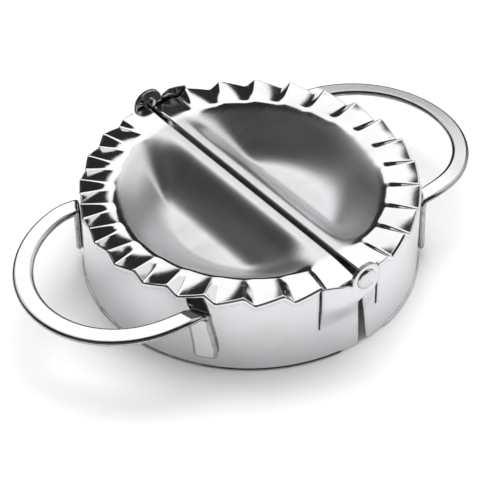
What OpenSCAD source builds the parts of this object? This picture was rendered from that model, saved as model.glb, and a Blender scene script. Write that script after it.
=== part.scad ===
// Folding press for filled turnovers, in stamped stainless steel.
// Two half rings of one pressing carry a toothed crimp plate each and fold about
// two rivets. Z is up, the hinge line runs along Y, the handles point to +X
// and -X, and the origin is the centre of the base on the table.

/* [Body] */
// Outer radius of the round skirt
skirt_r = 47.5; // [47.4:0.1:47.5]
// Sheet thickness of the skirt
skirt_t = 0.6; // [0.5:0.05:0.7]
// Mean height of the crimp rim
rim_h = 24.9; // [24.5:0.05:24.95]
// Radius of the bead along the bottom edge
bead_r = 0.4; // [0.3:0.05:0.6]

/* [Crimp teeth] */
// Number of teeth round the full circle (even)
tooth_n = 28; // [24:2:32]
// Half of the height from valley to peak
tooth_a = 1.35; // [0.8:0.05:1.5]
// Half of the angle that the steep flank takes, in degrees
flank_a = 1.75; // [1.2:0.05:2.4]
// Radius at which the teeth have faded out
tooth_r = 37.5; // [34:0.5:40]
// Height of the rounded outer bend of the rim
bend_r = 1.0; // [0.8:0.1:1.4]

/* [Dish] */
// Sheet thickness of the crimp plate
plate_t = 0.6; // [0.5:0.05:0.7]
// Depth of the dish that holds the filling
dish_depth = 11; // [8:0.5:14]
// Radius of the curved edge of the dish
dish_r = 38.5; // [34:0.5:40]
// Distance from the hinge line to the straight edge of the dish
dish_x = 3.2; // [2.5:0.1:5]
// Half of the gap between the two plates at the hinge line
plate_gap = 0.75; // [0.6:0.05:1.2]

/* [Hinge] */
// Height of the hinge axis
pivot_z = 25.0; // [25.0:0.05:25.4]
// Radius of the outer ear around the rivet
ear_r = 4.8; // [4.5:0.05:5]
// Radius of the inner ear around the rivet
inner_ear_r = 4.6; // [4.3:0.05:4.8]
// Gap between the two ears
ear_gap = 0.05; // [0.04:0.01:0.1]
// Radius of the rivet's shank
shank_r = 1.6; // [1.4:0.05:1.8]
// Radial clearance of the shank in the ear that turns on it
run_c = 0.05; // [0.03:0.01:0.1]
// Radius of the domed rivet head
head_r = 3.1; // [2.8:0.1:3.4]
// Height of the domed rivet head
head_h = 1.15; // [0.9:0.05:1.4]
// Radius of the peened inner end
peen_r = 2.3; // [2.1:0.1:2.6]
// Height of the peened inner end
peen_h = 0.7; // [0.5:0.05:0.9]

/* [Handles] */
// Height of the left handle's top face where it meets the skirt
left_handle_z = 21.3; // [19.5:0.05:21.5]
// Height of the right handle's top face where it meets the skirt
right_handle_z = 18.75; // [18.5:0.05:21.5]
// Thickness of the handle strap
strap_t = 1.8; // [1.4:0.1:2.2]
// Radius of the loop's outer edge
loop_ro = 30.5; // [29:0.1:31]
// Radius of the loop's inner edge
loop_ri = 24.7; // [24:0.1:26]
// How much wider the left loop is at its tip
left_reach = 1.0; // [0:0.1:1.5]
// How much wider the right loop is at its tip
right_reach = 0.0; // [0:0.1:1.5]
// Angle that the handle drops towards its tip, in degrees
droop = 4.57; // [0:0.01:6]
// Angle of each leg from the handle's own axis, in degrees
leg_a = 37.2; // [36:0.1:38]
// Length from the handle's top face to the end of the leg
leg_drop = 16.6; // [12:0.1:17]
// Half of the width of the leg's foot
foot_w = 3.35; // [2.8:0.05:3.6]
// Half of the width of the leg's neck
neck_w = 2.35; // [2:0.05:2.6]

/* [Hidden] */

steel = [0.78, 0.78, 0.80];
bright = [0.90, 0.90, 0.92];
dark = [0.62, 0.62, 0.66];

pitch = 360 / tooth_n;
seg = 96;

// Distance from the centre to the outer face of each hinge's outer ear
front_ear_y = 49.35;
back_ear_y = 48.25;

// Outer ear end: the slit, the flap that carries the ear and its crease
slit_o1 = 15.60;    // angle of the flap's edge at the slit
slit_o2 = 15.95;    // angle of the wall's edge at the slit
slit_oz = 11.5;     // bottom of the slit
flap_oz = 17.5;     // height from which the flap stands fully out
flap_step = 0.9;    // how far the flap stands out of the wall at the slit
crease_x = 8.1;     // the vertical crease beside the flat ear
end_ox = 0.6;       // the wall's end beside the hinge line
ear_ox = 2.3;       // the flap's end where it stands fully out

// Inner ear end
slit_i1 = 5.6;      // flap's edge at the slit, from the hinge line
slit_i2 = 7.60;     // angle of the wall's edge at the slit
slit_iz = 10.9;
flap_iz = 16.4;
end_ix1 = 0.8;      // the slanted end of the wall, at its top
end_ix2 = 1.95;     // and at its bottom

lap = skirt_t + ear_gap;   // from one ear's outer face to the next one's
seam = 0.12;        // between the wall's toothed edge and the crimp plate
notch_x = 6.3;
notch_y = 46.2;

// Height of the saw tooth, from -1 to 1; it climbs the steep flank at every
// whole pitch and falls gently from there to the next one
function wrap(a) = a - pitch * floor(a / pitch + 0.5);
function saw(a) = let (u = wrap(a), h = flank_a, g = pitch - 2 * flank_a)
    abs(u) <= h ? u / h : (u > 0 ? 1 - 2 * (u - h) / g : -1 + 2 * (-h - u) / g);

// Height of the rim at angle a from the front hinge, on the left half.
// Beside the ears the teeth are left out.
end_o = 13.1;
end_i = 180 - 12.3;
function rim(a) = a < end_o ? min(rim_h - 1.05, rim_h + tooth_a * saw(a))
    : a > end_i ? rim_h + 0.25
    : rim_h + tooth_a * saw(a);

function clamp01(v) = max(0, min(1, v));
function smooth(v) = let (c = clamp01(v)) c * c * (3 - 2 * c);

// Height of the crimp plate's top face
function relief(r) = clamp01((r - tooth_r) / (skirt_r - bend_r - tooth_r));
function edge_drop(r) = r <= skirt_r - bend_r ? 0
    : bend_r - sqrt(max(0, bend_r * bend_r - pow(r - (skirt_r - bend_r), 2)));
function dish(x, r) = dish_depth
    * pow(smooth((dish_r - r) / 17), 0.8) * pow(smooth((-x - dish_x) / 13), 0.8);
function top_z(x, r, a) = rim_h + relief(r) * (rim(a) - rim_h) - edge_drop(r) - dish(x, r);

// ---------------------------------------------------------------- skirt

// Ring sector of the wall, between two angles from the front hinge
module wall(a1, a2, z1, z2, ro = skirt_r, t = skirt_t)
    translate([0, 0, z1]) rotate([0, 0, 270 - a2])
        rotate_extrude(angle = a2 - a1, $fn = seg)
            translate([ro - t, 0]) square([t, z2 - z1]);

// Everything above the wall's toothed edge, one prism for each tooth
module tooth_cutters() {
    w = skirt_r * tan(pitch / 2);
    f = skirt_r * (tan(pitch / 2) - tan(pitch / 2 - flank_a));
    lo = rim_h - bend_r - seam;
    for (k = [0 : tooth_n / 2 - 1]) {
        c = (k + 0.5) * pitch;
        // the first and last pitch are plain beside the ears
        p = k == 0 ? rim(4) - bend_r - seam : k == tooth_n / 2 - 1 ? rim(176) - bend_r - seam : 0;
        pts = p > 0 ? [[-w, p], [w, p], [w, 40], [-w, 40]]
            : [[-w, lo], [-w + f, lo + tooth_a], [w - f, lo - tooth_a], [w, lo], [w, 40], [-w, 40]];
        rotate([0, 0, 270 - c]) translate([skirt_r - 4, 0, 0])
            rotate([90, 0, 90]) linear_extrude(8)
                polygon([for (q = pts) [-q[0], q[1]]]);
    }
}

// Outline of an ear in front view, x towards the free side
module ear_outline(r, neck_z, wall_x, end_x, top) {
    translate([0, pivot_z]) circle(r = r, $fn = seg);
    polygon(concat([[wall_x, neck_z]], top,
        [[0, pivot_z + 1], [r - 0.02, pivot_z - 0.4], [4.5, pivot_z - 3.9],
         [3.86, pivot_z - 5.4], [2.6, pivot_z - 5.95], [-1.4, pivot_z - 6.2], [end_x, neck_z + 0.6], [end_x, neck_z]]));
}

// A thin slab of the wall's own section between two x values, on the -Y side
module wall_slab(x1, x2, z)
    intersection() {
        translate([0, 0, z]) difference() {
            cylinder(r = skirt_r, h = 0.1, $fn = seg);
            translate([0, 0, -1]) cylinder(r = skirt_r - skirt_t, h = 3, $fn = seg);
        }
        translate([x1, -skirt_r - 1, z - 1]) cube([x2 - x1, 12, 3]);
    }

// Outer flap with the outer face of its ear at y = -oy. The flap's outer
// face runs straight from the slit to the crease.
module outer_flap(oy) {
    p0 = [-(skirt_r + flap_step) * sin(slit_o1), -(skirt_r + flap_step) * cos(slit_o1)];
    p1 = [-crease_x, -oy];
    flap_len = norm(p1 - p0);
    flap_ang = atan2(p1[1] - p0[1], p1[0] - p0[0]);
    // flat ear plate
    translate([0, -oy + skirt_t, 0]) rotate([90, 0, 0]) linear_extrude(skirt_t)
        ear_outline(ear_r, flap_oz, -crease_x - 0.02, -ear_ox,
            [[-crease_x - 0.02, 26.6], [-7.1, 26.4], [-5.9, 25.9], [-4.72, 24.9]]);
    // flap from the slit to the crease
    translate([p0[0], p0[1], 0]) rotate([0, 0, flap_ang]) translate([0, skirt_t, 0])
        rotate([90, 0, 0]) linear_extrude(skirt_t)
            polygon([[0, flap_oz], [flap_len + 0.05, flap_oz], [flap_len + 0.05, 26.6], [0.5, 26.4], [0, 26.0]]);
    // the bent part where the flap leaves the wall
    hull() {
        wall_slab(-crease_x - 0.03, -end_ox, slit_oz - 0.1);
        translate([-crease_x - 0.03, -oy, flap_oz]) cube([crease_x - ear_ox + 0.03, skirt_t, 0.1]);
    }
    hull() {
        wall_slab(-skirt_r * sin(slit_o1), -crease_x, slit_oz - 0.1);
        translate([p0[0], p0[1], flap_oz]) rotate([0, 0, flap_ang]) cube([flap_len, skirt_t, 0.1]);
    }
}

// The same sheet at the other hinge, with its outer face at y = iy
module inner_flap(iy) {
    translate([0, iy, 0]) rotate([90, 0, 0]) linear_extrude(skirt_t)
        ear_outline(inner_ear_r, flap_iz, -slit_i1, -1.2,
            [[-slit_i1, 24.6], [-4.5, 24.2]]);
    hull() {
        rotate([0, 0, 180]) wall_slab(end_ix1 + 0.4, slit_i1, slit_iz - 0.1);
        translate([-slit_i1, iy - skirt_t, flap_iz]) cube([slit_i1 - 1.2, skirt_t, 0.1]);
    }
}

// One half's skirt; its outer ear's outer face is at y = -oy and its inner
// ear's outer face at y = iy
module half_skirt(oy, iy)
    difference() {
        union() {
            difference() {
                wall(0.72, 179.03, 0, 30);
                tooth_cutters();
                // beside the hinges the wall ends below the flaps
                wall(-5, slit_o2, slit_oz, 40, skirt_r + 8, 16);
                wall(180 - slit_i2, 185, slit_iz, 40, skirt_r + 8, 16);
            }
            outer_flap(oy);
            inner_flap(iy);
            // bead along the bottom edge, clear of both ends
            rotate([0, 0, 270 - (180 - 9.65)])
                rotate_extrude(angle = 180 - 9.65 - 6.15, $fn = seg)
                    translate([skirt_r, bead_r]) intersection() {
                        circle(r = bead_r, $fn = 32);
                        translate([-0.1, -bead_r]) square([bead_r + 0.2, 2 * bead_r]);
                    }
        }
        // slanted end of the wall at the inner ear
        translate([0, skirt_r + 3, 0]) rotate([90, 0, 0]) linear_extrude(12)
            polygon([[-end_ix2, -1], [-end_ix2, 0], [-end_ix1, 16.2], [-0.6, 17.6], [8, 17.6], [8, -1]]);
        // rounded bottom corner there
        translate([-end_ix2 - 1.5, skirt_r + 3, 1.5]) rotate([90, 0, 0]) linear_extrude(12)
            difference() {
                translate([0, -2]) square([3, 2]);
                circle(r = 1.5, $fn = 48);
            }
        // the rivets' bores in the outer ear and the inner ear
        translate([0, -oy + skirt_t + 0.02, pivot_z]) rotate([90, 0, 0])
            cylinder(r = shank_r, h = skirt_t + 1, $fn = 64);
        translate([0, iy + 1, pivot_z]) rotate([90, 0, 0])
            cylinder(r = shank_r, h = skirt_t + 2, $fn = 64);
    }

// ---------------------------------------------------------------- crimp plate

// Angles of the plate's section planes: the corners of every tooth and points between
first_a = asin(plate_gap / skirt_r);
cols = concat([first_a, 2.2, 3.6, 5.4],
    [for (k = [0 : tooth_n / 2]) for (d = [-flank_a, 0, flank_a, flank_a + 3, flank_a + 6.3])
        if (k * pitch + d > 7 && k * pitch + d < 173) k * pitch + d],
    [174.6, 176.4, 177.8, 180 - first_a]);

// Radii of the points on the top face, from the rim inwards
rad_bend = [for (b = [0 : 15 : 90]) skirt_r - bend_r + bend_r * cos(b)];
rad_top = [44.5, 42, 39.5, 36.5, 33.5, 30.5, 27, 23.5, 19.5, 15, 10, 5];
lip_z = 21.0;

// The point at radius r on the section plane that meets the rim at angle a;
// the planes all meet on the plate's straight edge
function aim(a) = let (v = [plate_gap - skirt_r * sin(a), -skirt_r * cos(a)]) v / norm(v);
function on_plane(a, r) = let (u = aim(a), b = -plate_gap * u[0])
    [-plate_gap, 0] + (-b + sqrt(b * b - plate_gap * plate_gap + r * r)) * u;
function top_pt(a, r) = let (p = on_plane(a, r)) [p[0], p[1], top_z(p[0], r, a)];
function low_pt(a, r) = let (p = on_plane(a, r)) [p[0], p[1], top_z(p[0], r, a) - plate_t];
function at_z(a, r, z) = let (p = on_plane(a, r)) [p[0], p[1], z];

// One closed section: over the bend and the teeth to the straight edge, back
// underneath, down the inside of the skirt and out over the skirt's edge
function section(a) = let (rs = skirt_r - skirt_t, rl = skirt_r - skirt_t - plate_t)
    concat(
        [for (r = rad_bend) top_pt(a, r)],
        [for (r = rad_top) top_pt(a, r)],
        [[-plate_gap, 0, rim_h]],
        [[-plate_gap, 0, rim_h - plate_t]],
        [for (i = [len(rad_top) - 1 : -1 : 0]) low_pt(a, rad_top[i])],
        [low_pt(a, rl)],
        [at_z(a, rl, lip_z), at_z(a, rs, lip_z), at_z(a, rs, rim(a) - bend_r)]);

// Triangles that close one section: the bend, the lips, then the sheet
module plate_sheet() {
    nb = len(rad_bend);
    nt = len(rad_top);
    n = nb + 2 * nt + 6;
    m = len(cols);
    end_cap = concat(
        [for (i = [0 : nb - 2]) [n - 1, i, i + 1]],
        [[n - 1, nb - 1, n - 4], [n - 1, n - 4, n - 3], [n - 1, n - 3, n - 2]],
        [for (j = [0 : nt]) each [
            [nb - 1 + j, nb + j, n - 5 - j],
            [nb - 1 + j, n - 5 - j, n - 4 - j]]]);
    pts = [for (a = cols) each section(a)];
    faces = concat(
        [for (i = [0 : m - 2]) for (j = [0 : n - 1]) let (k = (j + 1) % n)
            if (norm(pts[i * n + j] - pts[(i + 1) * n + j]) > 1e-6)
            [i * n + j, (i + 1) * n + j, i * n + k]],
        [for (i = [0 : m - 2]) for (j = [0 : n - 1]) let (k = (j + 1) % n)
            if (norm(pts[i * n + k] - pts[(i + 1) * n + k]) > 1e-6)
            [(i + 1) * n + j, (i + 1) * n + k, i * n + k]],
        end_cap,
        [for (f = end_cap) [for (v = [2, 1, 0]) (m - 1) * n + f[v]]]);
    polyhedron(points = pts, faces = faces, convexity = 8);
}

module half_plate()
    difference() {
        union() {
            plate_sheet();
            // turned-down safe edge along the hinge line
            translate([-plate_gap - plate_t, -40, rim_h - 3.2]) cube([plate_t, 80, 3.2 - plate_t / 2]);
        }
        // room for the ears and the rivets' inner ends
        for (s = [-1, 1])
            translate([-notch_x, s > 0 ? notch_y : -notch_y - 6, 10]) cube([notch_x + 1, 6, 20]);
        // the inner lip stops short of the free flaps
        translate([-13.5, -skirt_r - 1, 10]) cube([15, 6, 12.2]);
        translate([-notch_x, skirt_r - 5, 10]) cube([8, 6, 12.2]);
    }

// ---------------------------------------------------------------- handle

// The handle is drawn on the +X side
module loop_outline(reach)
    difference() {
        union() {
            translate([42 + reach, 0]) intersection() {
                circle(r = loop_ro, $fn = seg);
                translate([0, -40]) square([40, 80]);
            }
            translate([33, -loop_ro]) square([9 + reach, 2 * loop_ro]);
        }
        translate([43, 0]) circle(r = loop_ri, $fn = seg);
        translate([30, -loop_ri]) square([13, 2 * loop_ri]);
    }

leg_face = skirt_r + strap_t + 0.05;

module leg_outline(z0) {
    zb = z0 - leg_drop;
    c = 2.0;
    // foot with rounded corners, neck above it
    for (s = [-1, 1]) translate([s * (foot_w - c), zb + c]) circle(r = c, $fn = 48);
    translate([-foot_w + c, zb]) square([2 * (foot_w - c), c]);
    polygon([[-foot_w, zb + c], [-foot_w, zb + 4], [-neck_w, z0 - 4], [-neck_w - 0.4, z0 - 1],
             [neck_w + 0.4, z0 - 1], [neck_w, z0 - 4], [foot_w, zb + 4], [foot_w, zb + c]]);
}

module handle_piece(z0, reach)
    difference() {
        union() {
            // loop, with its ends trimmed by the legs' flat faces
            difference() {
                translate([skirt_r, 0, z0]) rotate([0, droop, 0]) translate([-skirt_r, 0, -strap_t])
                    linear_extrude(strap_t) loop_outline(reach);
                translate([0, 0, z0 - 10]) cylinder(r = skirt_r, h = 20, $fn = 2 * seg);
                // rounded bend into each leg
                for (s = [-1, 1]) rotate([0, 0, s * leg_a])
                    translate([leg_face, 6, z0]) rotate([90, 0, 0]) linear_extrude(12)
                        difference() {
                            translate([-4, -2.2]) square([4.0, 6]);
                            translate([0.4, -2.4]) circle(r = 2.4, $fn = 64);
                        }
            }
            for (s = [-1, 1]) rotate([0, 0, s * leg_a])
                translate([skirt_r - 1, 0, 0]) rotate([90, 0, 90])
                    linear_extrude(leg_face - skirt_r + 1) leg_outline(z0);
        }
        // the legs' inner faces follow the skirt
        translate([0, 0, -5]) cylinder(r = skirt_r, h = 40, $fn = 2 * seg);
    }

// ---------------------------------------------------------------- rivet

// Rivet along +Z: domed head below z = 0, peened end above the grip
grip = 2 * skirt_t + ear_gap + 0.05;
module rivet_body()
    rotate_extrude($fn = 64) union() {
        // dome as a circular segment through the head's rim
        intersection() {
            translate([0, dome_r - head_h]) circle(r = dome_r, $fn = 128);
            translate([0, -head_h]) square([head_r, head_h]);
        }
        translate([0, -0.1]) square([shank_r, grip + 0.2]);
        intersection() {
            translate([0, grip + peen_h - peen_dome]) circle(r = peen_dome, $fn = 128);
            translate([0, grip]) square([peen_r, peen_h]);
        }
    }
dome_r = (head_r * head_r + head_h * head_h) / (2 * head_h);
peen_dome = (peen_r * peen_r + peen_h * peen_h) / (2 * peen_h);

// ---------------------------------------------------------------- nodes

// The left half's ears are tight on the rivets
module left_skirt() color(steel) half_skirt(front_ear_y, back_ear_y - lap);
module left_crimp_plate() color(bright) half_plate();
module left_handle() color(dark) rotate([0, 0, 180]) handle_piece(left_handle_z, left_reach);

// The right half is the same pressing turned half round, with running bores
module right_skirt() color(steel) difference() {
    rotate([0, 0, 180]) half_skirt(back_ear_y, front_ear_y - lap);
    translate([0, -front_ear_y - 1, pivot_z]) rotate([-90, 0, 0])
        cylinder(r = shank_r + run_c, h = 2 * front_ear_y + 2, $fn = 64);
}
module right_crimp_plate() color(bright) rotate([0, 0, 180]) half_plate();
module right_handle() color(dark) handle_piece(right_handle_z, right_reach);

// Both heads are outside; each rivet is fixed in the left half's ear
module front_rivet() color(dark) translate([0, -front_ear_y, pivot_z]) rotate([-90, 0, 0]) rivet_body();
module back_rivet() color(dark) translate([0, back_ear_y + 0.05, pivot_z]) rotate([90, 0, 0]) rivet_body();

left_skirt();
left_crimp_plate();
left_handle();
right_skirt();
right_crimp_plate();
right_handle();
front_rivet();
back_rivet();
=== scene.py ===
"""Looks of the folding press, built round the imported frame. Lengths are in mm until the meshes are made."""

import math

import bpy
import numpy as np
from mathutils import Matrix, Vector
from mathutils.geometry import delaunay_2d_cdt

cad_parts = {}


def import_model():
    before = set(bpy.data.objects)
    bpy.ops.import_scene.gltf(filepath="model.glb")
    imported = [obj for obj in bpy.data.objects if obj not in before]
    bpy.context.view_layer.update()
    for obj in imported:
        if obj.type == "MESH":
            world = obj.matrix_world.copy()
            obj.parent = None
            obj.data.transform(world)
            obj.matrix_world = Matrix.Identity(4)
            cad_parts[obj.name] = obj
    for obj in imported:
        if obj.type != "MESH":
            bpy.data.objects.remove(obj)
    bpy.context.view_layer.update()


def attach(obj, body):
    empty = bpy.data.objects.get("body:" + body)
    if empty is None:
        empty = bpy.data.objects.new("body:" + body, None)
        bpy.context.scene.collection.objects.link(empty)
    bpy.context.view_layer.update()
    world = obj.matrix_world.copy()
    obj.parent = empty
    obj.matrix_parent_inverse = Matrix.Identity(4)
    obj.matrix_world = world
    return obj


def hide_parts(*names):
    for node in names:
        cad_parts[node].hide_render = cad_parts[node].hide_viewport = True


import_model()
MM = 0.001

# ------------------------------------------------------------------ sizes, as in the CAD
R = 47.5
T = 0.6
RIM = 24.9
BEAD = 0.4
TEETH = 28
AMP = 1.35
FLANK = 1.75
BEND = 1.0
FOLD = 0.7
GAP = 0.75
PIVOT = 25.0
EAR_O, EAR_I = 4.79, 4.6
FRONT_Y, BACK_Y = 49.35, 48.25
LAP = T + 0.05
SHANK, RUN = 1.6, 0.05
PITCH = 360 / TEETH
SLIT_O1, SLIT_O2, SLIT_OZ = 15.60, 15.95, 11.5
SLIT_I1, SLIT_I2, SLIT_IZ = 5.35, 7.28, 11.4
STEP, CREASE = 0.9, 8.1
NOTCH_X, NOTCH_Y = 6.3, 46.2


# ------------------------------------------------------------------ small helpers
def unit(v):
    n = np.linalg.norm(v, axis=-1, keepdims=True)
    return v / np.maximum(n, 1e-12)


def smooth(v):
    c = np.clip(v, 0, 1)
    return c * c * (3 - 2 * c)


def ramp(d, w):
    """max(0, d) with its corner rounded over -w to w."""
    return np.where(d <= -w, 0.0, np.where(d >= w, d, (d + w) ** 2 / (4 * w)))


def arc(cx, cz, r, a1, a2, h=0.3):
    """Points of an arc from angle a1 to a2 in degrees."""
    n = max(2, int(abs(math.radians(a2 - a1)) * r / h) + 1)
    t = np.radians(np.linspace(a1, a2, n))
    return np.stack([cx + r * np.cos(t), cz + r * np.sin(t)], 1)


def densify(points, h, closed=True):
    out = []
    n = len(points)
    for i in range(n if closed else n - 1):
        a, b = points[i], points[(i + 1) % n]
        k = max(1, int(math.ceil(np.linalg.norm(b - a) / h - 1e-6)))
        for j in range(k):
            out.append(a + (b - a) * j / k)
    if not closed:
        out.append(points[-1])
    return np.array(out)


def rounded(points, radii, closed=True, n=6):
    """A polyline with its corners rounded."""
    p = np.array(points, float)
    out = []
    for i in range(len(p)):
        r = radii[i] if hasattr(radii, "__len__") else radii
        if r <= 0 or (not closed and i in (0, len(p) - 1)):
            out.append(p[i])
            continue
        a, b, c = p[i - 1], p[i], p[(i + 1) % len(p)]
        u, v = unit(a - b), unit(c - b)
        half = math.acos(float(np.clip(u @ v, -1, 1))) / 2
        if half > math.radians(88.5):
            out.append(b)
            continue
        cut = min(r / math.tan(half), 0.48 * np.linalg.norm(a - b), 0.48 * np.linalg.norm(c - b))
        rr = cut * math.tan(half)
        centre = b + unit(u + v) * rr / math.sin(half)
        s, e = b + u * cut - centre, b + v * cut - centre
        a1, a2 = math.atan2(s[1], s[0]), math.atan2(e[1], e[0])
        d = (a2 - a1 + math.pi) % (2 * math.pi) - math.pi
        for k in range(n + 1):
            t = a1 + d * k / n
            out.append(centre + rr * np.array([math.cos(t), math.sin(t)]))
    return np.array(out)


def area2(loop):
    x, y = loop[:, 0], loop[:, 1]
    return float(np.sum(x * np.roll(y, -1) - np.roll(x, -1) * y))


def inside(points, loops):
    """Even-odd test of points against closed loops."""
    hit = np.zeros(len(points), bool)
    for loop in loops:
        a, b = loop, np.roll(loop, -1, 0)
        for k in range(0, len(points), 4000):
            p = points[k : k + 4000]
            ya, yb = a[:, 1][None], b[:, 1][None]
            py, px = p[:, 1][:, None], p[:, 0][:, None]
            cross = (ya > py) != (yb > py)
            with np.errstate(divide="ignore", invalid="ignore"):
                xi = a[:, 0][None] + (py - ya) / (yb - ya) * (b[:, 0] - a[:, 0])[None]
            hit[k : k + 4000] ^= (np.sum(cross & (px < xi), 1) % 2).astype(bool)
    return hit


def nearest(points, to):
    """Distance of each point to the nearest of the others."""
    out = np.empty(len(points))
    for k in range(0, len(points), 2000):
        d = points[k : k + 2000, None, :] - to[None]
        out[k : k + 2000] = np.sqrt((d * d).sum(2).min(1))
    return out


def hexgrid(x1, x2, y1, y2, h):
    rows = np.arange(y1, y2, h * 0.866)
    out = []
    for i, y in enumerate(rows):
        xs = np.arange(x1 + (h / 2 if i % 2 else 0), x2, h)
        out.append(np.stack([xs, np.full_like(xs, y)], 1))
    return np.concatenate(out)


# ------------------------------------------------------------------ the crimp rim
def wrap(a):
    return a - PITCH * np.floor(a / PITCH + 0.5)


def saw(a):
    u = wrap(a)
    g = PITCH - 2 * FLANK
    return np.where(
        np.abs(u) <= FLANK, u / FLANK, np.where(u > 0, 1 - 2 * (u - FLANK) / g, -1 + 2 * (-FLANK - u) / g)
    )


def _rim_table():
    """Height of the rim against the angle, with its corners rounded as pressed sheet has them."""
    a = np.arange(-8, 188.001, 0.05)
    z = RIM + AMP * saw(a)
    front = np.interp(a, [-20, 10.2, 11.1, 12.857, 14.607], [RIM - 1.05, RIM - 1.05, RIM - 1.35, RIM - 1.05, RIM + AMP])
    z = np.where(a < 14.607, front, z)
    z = np.where(a > 180 - 12.3, RIM + 0.25, z)
    k = int(0.85 / 0.05)
    w = 1 - (np.arange(-k, k + 1) / (k + 1)) ** 2
    pad = np.pad(z, k, mode="edge")
    return a, np.convolve(pad, w / w.sum(), mode="valid")


RIM_A, RIM_Z = _rim_table()


def rim(a):
    return np.interp(a, RIM_A, RIM_Z)


def plate_z(x, y):
    """Height of the crimp plate's top face."""
    r = np.hypot(x, y)
    a = np.degrees(np.arctan2(-x, -y))
    relief = np.clip(ramp(r - 37.9, 1.6) / (R - FOLD - 37.9), 0, 1)
    dish = 11.0 * smooth((38.5 - r) / 17) ** 0.8 * smooth((-x - 3.2) / 13) ** 0.8
    return RIM + relief * (rim(a) - RIM) - dish


# ------------------------------------------------------------------ meshes
class Build:
    """Collects the points and faces of one piece, with a shading normal at every point."""

    def __init__(self):
        self.co, self.no, self.edge, self.dom, self.faces = [], [], [], [], []
        self.n = 0

    def add(self, co, no, edge=0.0, dom=None):
        co = np.asarray(co, float).reshape(-1, 3)
        m = len(co)
        self.co.append(co)
        self.no.append(np.broadcast_to(np.asarray(no, float), (m, 3)).copy())
        self.edge.append(np.broadcast_to(np.asarray(edge, float), (m,)).copy())
        self.dom.append(np.zeros((m, 2)) if dom is None else np.asarray(dom, float).reshape(-1, 2))
        ids = np.arange(self.n, self.n + m)
        self.n += m
        return ids

    def strip(self, rows, closed):
        """Quads between rows of point numbers."""
        rows = [np.asarray(r) for r in rows]
        n = len(rows[0])
        for a, b in zip(rows[:-1], rows[1:]):
            for i in range(n if closed else n - 1):
                j = (i + 1) % n
                self.faces.append((a[i], a[j], b[j], b[i]))

    def object(self, name, turn=False):
        co = np.concatenate(self.co)
        no = unit(np.concatenate(self.no))
        if turn:
            co = co * [-1, -1, 1]
            no = no * [-1, -1, 1]
        faces = []
        for f in self.faces:
            f = [int(i) for i in f]
            keep = [f[i] for i in range(len(f)) if f[i] != f[i - 1]]
            if len(set(keep)) < 3:
                continue
            # each face turns towards its points' normals
            p = co[keep]
            d = np.zeros(3)
            for i in range(1, len(keep) - 1):
                d += np.cross(p[i] - p[0], p[i + 1] - p[0])
            if d @ no[keep].sum(0) < 0:
                keep.reverse()
            faces.append(keep)
        mesh = bpy.data.meshes.new(name)
        mesh.from_pydata((co * MM).tolist(), [], faces)
        for key, values in (("edge", np.concatenate(self.edge)),):
            at = mesh.attributes.new(key, "FLOAT", "POINT")
            at.data.foreach_set("value", values.astype(np.float32))
        at = mesh.attributes.new("satin", "FLOAT", "POINT")
        r = np.hypot(co[:, 0], co[:, 1])
        at.data.foreach_set("value", smooth((37.6 - r) / 2.4).astype(np.float32))
        dom = np.concatenate(self.dom)
        at = mesh.attributes.new("dom", "FLOAT_VECTOR", "POINT")
        at.data.foreach_set("vector", np.column_stack([dom, np.zeros(len(dom))]).astype(np.float32).ravel())
        mesh.validate()
        mesh.update()
        mesh.polygons.foreach_set("use_smooth", np.ones(len(mesh.polygons), bool))
        mesh.normals_split_custom_set_from_vertices(no.tolist())
        o = bpy.data.objects.new(name, mesh)
        bpy.context.scene.collection.objects.link(o)
        return o


def slopes(F, p, h=2e-3):
    dx, dy = np.array([h, 0.0]), np.array([0.0, h])
    return (F(p + dx) - F(p - dx)) / (2 * h), (F(p + dy) - F(p - dy)) / (2 * h)


def normals(F, p, side):
    fx, fy = slopes(F, p)
    return side * unit(np.cross(fx, fy))


def inset(F, loop, e):
    """The loop moved inwards over the surface by e at each of its points."""
    prev, nxt = np.roll(loop, 1, 0), np.roll(loop, -1, 0)

    def left(d):
        d = unit(d)
        return np.stack([-d[:, 1], d[:, 0]], 1)

    fx, fy = slopes(F, loop)
    E, G, K = (fx * fx).sum(1), (fy * fy).sum(1), (fx * fy).sum(1)
    det = E * G - K * K
    inv = np.stack([np.stack([G, -K], 1), np.stack([-K, E], 1)], 1) / det[:, None, None]

    def hat(m):
        return m / np.sqrt(np.einsum("ni,nij,nj->n", m, inv, m))[:, None]

    s = hat(left(loop - prev)) + hat(left(nxt - loop))
    g = np.einsum("nij,nj->ni", inv, s)
    q = np.maximum((s * g).sum(1), 1.0)
    return loop + g * (2 * e / q)[:, None]


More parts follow.
